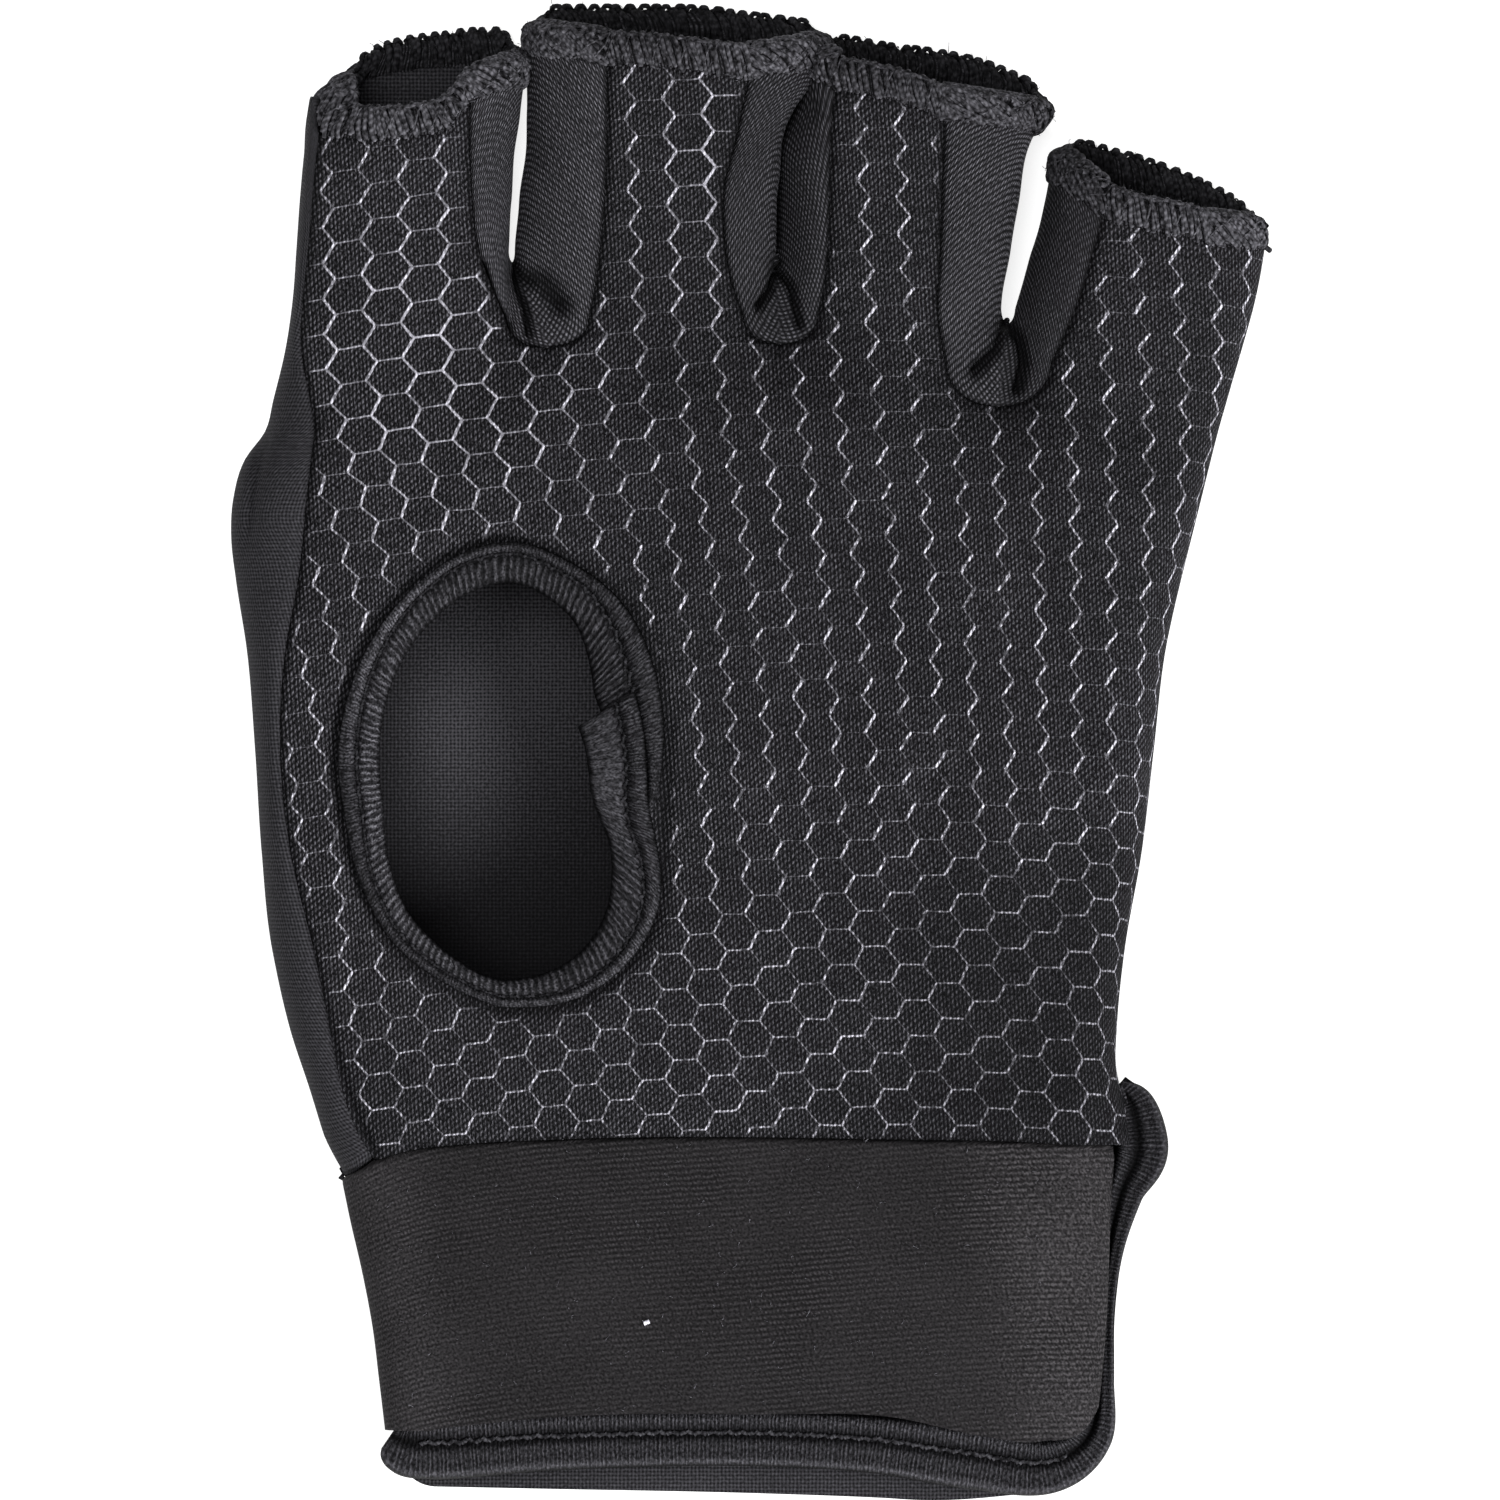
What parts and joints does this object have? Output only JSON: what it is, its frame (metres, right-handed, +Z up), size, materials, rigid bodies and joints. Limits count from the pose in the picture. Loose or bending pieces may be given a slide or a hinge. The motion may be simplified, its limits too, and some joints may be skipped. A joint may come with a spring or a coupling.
{
  "type": "field hockey glove",
  "caption": "Left-hand half-finger glove of dark knit lying palm up: crowned palm panel, flat back, open finger sleeves, taped oval thumb hole and ribbed open cuff.",
  "frame": {"origin": "on the surface the glove lies on, under the middle of its outline, on the back panel's flat underside", "axes": "+X towards the little-finger side, +Y towards the fingertips, +Z up out of the palm"},
  "size_m": [0.1139, 0.1647, 0.0206],
  "materials": {
    "knit": "matte",
    "jersey": "matte",
    "gusset": "satin",
    "thread": "matte",
    "rib": "matte",
    "tape": "matte"
  },
  "bodies": {
    "root": {"palm_panel": "knit", "back_panel": "jersey", "fourchette_index_middle": "gusset", "fourchette_middle_ring": "gusset", "fourchette_ring_little": "gusset", "index_hem": "thread", "middle_hem": "thread", "ring_hem": "thread", "little_hem": "thread", "thumb_binding": "tape", "cuff_front": "rib", "cuff_back": "rib", "cuff_binding": "tape", "wrist_strap": "jersey"}
  },
  "joints": []
}
